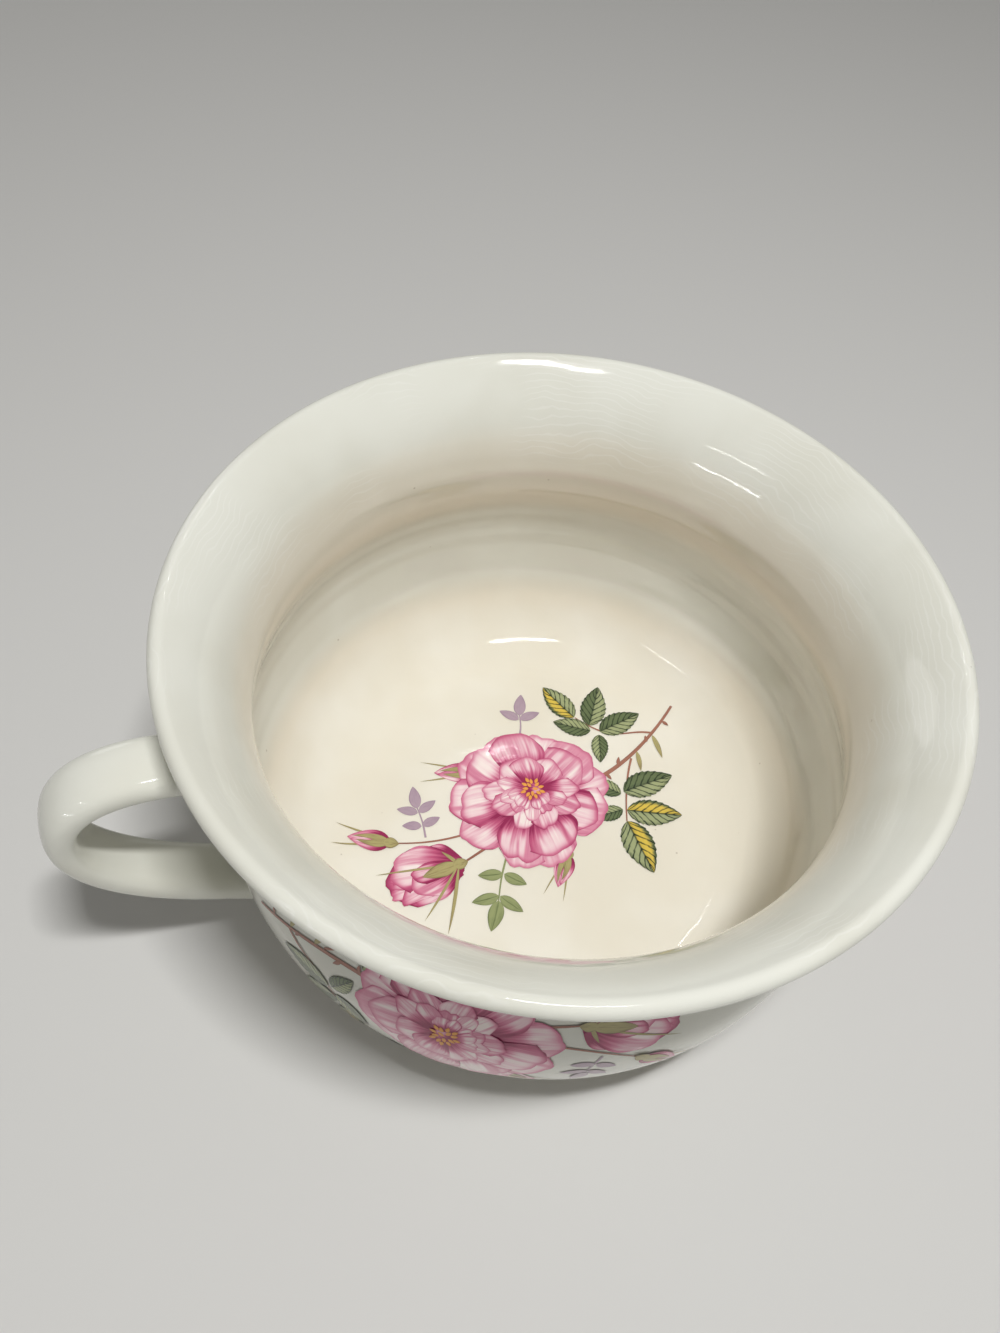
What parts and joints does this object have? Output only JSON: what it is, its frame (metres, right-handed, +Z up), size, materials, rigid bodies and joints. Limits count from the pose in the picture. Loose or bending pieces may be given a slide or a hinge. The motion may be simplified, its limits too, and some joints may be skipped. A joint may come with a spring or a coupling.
{
  "type": "chamber pot",
  "caption": "Round-bellied glazed earthenware chamber pot with a flared rolled rim, a turned foot ring, a strap handle and printed rose sprays inside and out.",
  "frame": {"origin": "centre of the foot ring, on the surface that the pot stands on", "axes": "+Z up along the pot's axis; the handle points along -X; -Y is the side nearest the picture's camera"},
  "size_m": [0.2744, 0.235, 0.132],
  "materials": {
    "cream_glaze": "clear gloss glaze over cream earthenware",
    "white_glaze": "clear gloss glaze over white earthenware",
    "slip_glaze": "clear gloss glaze over clay slip",
    "floor_print": "fired coloured print under clear gloss glaze",
    "belly_print": "fired coloured print under clear gloss glaze"
  },
  "bodies": {
    "root": {"body": "cream_glaze", "handle": "white_glaze", "upper_slip_joint": "slip_glaze", "lower_slip_joint": "slip_glaze", "floor_transfer": "floor_print", "front_transfer": "belly_print", "right_transfer": "belly_print", "back_transfer": "belly_print"}
  },
  "joints": []
}
